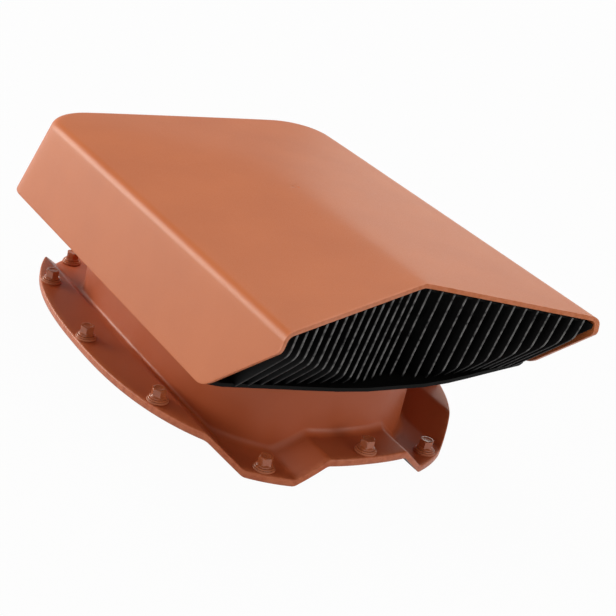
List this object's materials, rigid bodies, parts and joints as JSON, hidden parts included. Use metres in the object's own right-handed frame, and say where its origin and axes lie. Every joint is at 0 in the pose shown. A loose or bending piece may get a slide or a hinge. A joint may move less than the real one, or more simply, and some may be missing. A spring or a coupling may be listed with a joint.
{
  "type": "roof ventilator",
  "caption": "Static roof vent with an oval flange folded to seat on a trapezoidal steel roof, an oval collar, and a gabled hood with a swept slatted outlet at one end.",
  "frame": {"origin": "centre of the throat, in the plane of the flange's lowest edge, which rests in the roof sheet's valleys", "axes": "+Z away from the roof, +Y up the roof slope from the slatted outlet to the closed back, +X across the ribs"},
  "size_m": [0.25, 0.3973, 0.1435],
  "materials": {
    "shell": "fine-grained satin",
    "grille": "satin",
    "seal": "matte",
    "steel": "satin",
    "screw_paint": "gloss paint"
  },
  "bodies": {
    "root": {"roof_flange": "shell", "flange_seal": "seal", "hood": "shell", "slat_grille": "grille", "collar_seal": "seal", "grille_screws": "steel", "hood_screws": "steel", "roofing_screws": "screw_paint", "screw_washers": "screw_paint", "screw_seals": "seal"}
  },
  "joints": []
}
